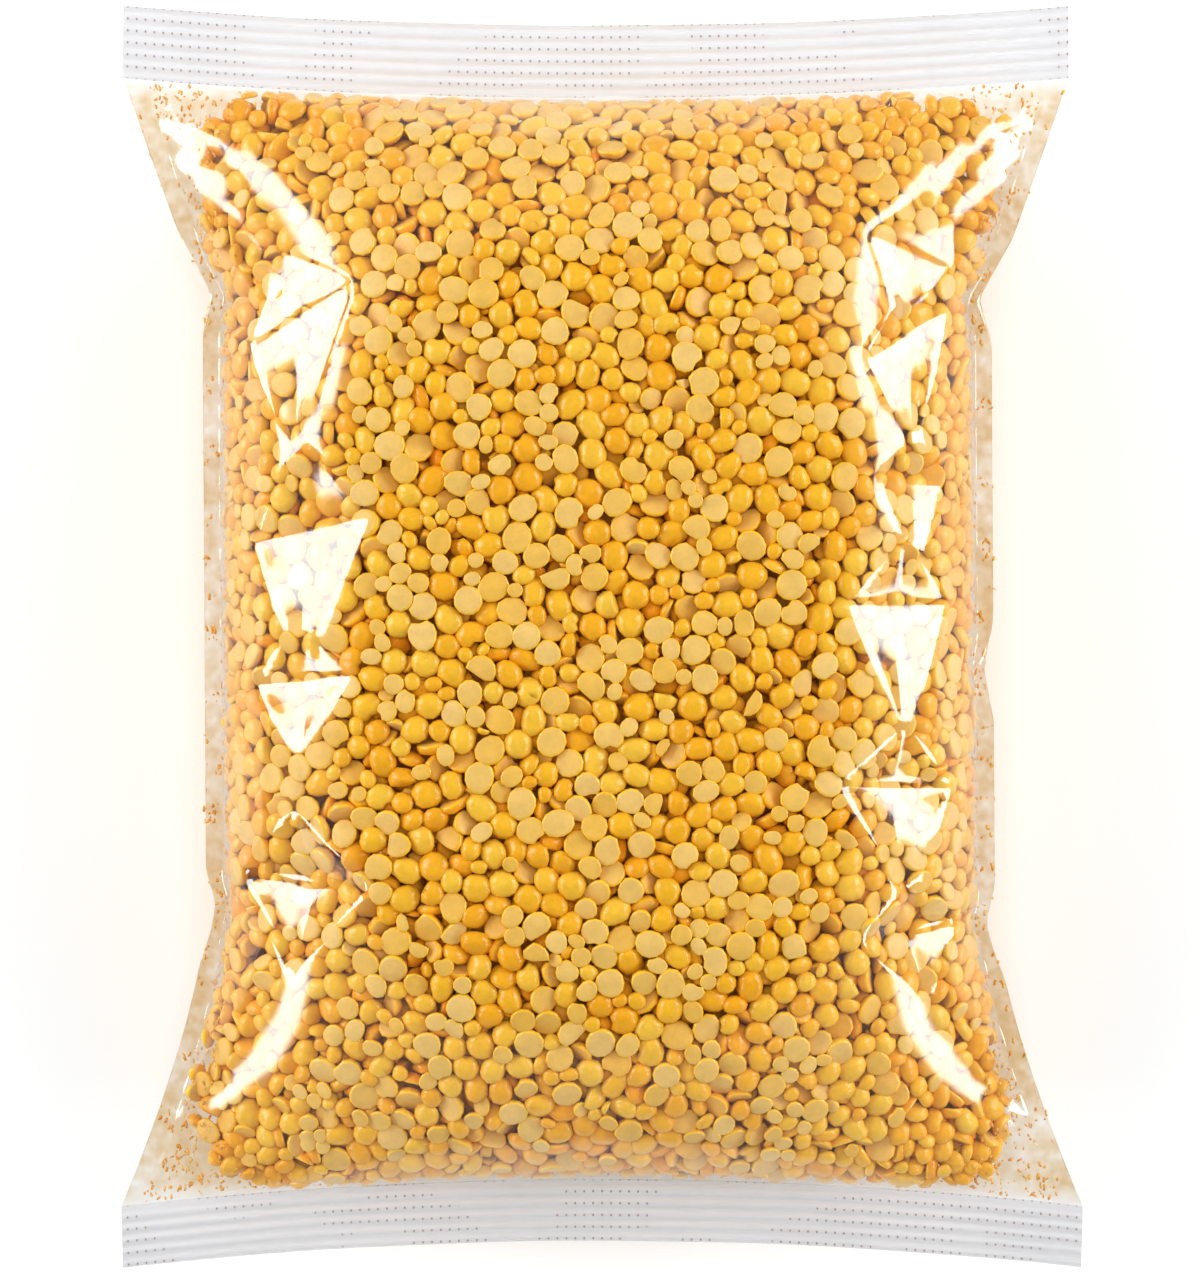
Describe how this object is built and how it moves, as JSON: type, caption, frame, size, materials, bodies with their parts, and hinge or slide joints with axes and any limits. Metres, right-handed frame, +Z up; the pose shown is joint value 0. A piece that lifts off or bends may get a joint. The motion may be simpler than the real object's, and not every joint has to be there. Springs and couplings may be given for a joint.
{
  "type": "bag of split lentils",
  "caption": "Sealed clear pillow bag filled tight with dry split yellow lentils, lying on its back, with a crimped seal at each end.",
  "frame": {"origin": "on the table, under the middle of the bag", "axes": "+Z up through the bag's thickness, +Y along the bag towards its top seal, +X across it"},
  "size_m": [0.1824, 0.24, 0.0543],
  "materials": {
    "split_lentils": "dry split lentils, ochre yellow, satin domed sides and paler flat split faces",
    "clear_film": "clear glossy film, drawn tight, hazier where it is crimped and welded"
  },
  "bodies": {
    "root": {"lentil_pack": "split_lentils"}
  },
  "joints": []
}
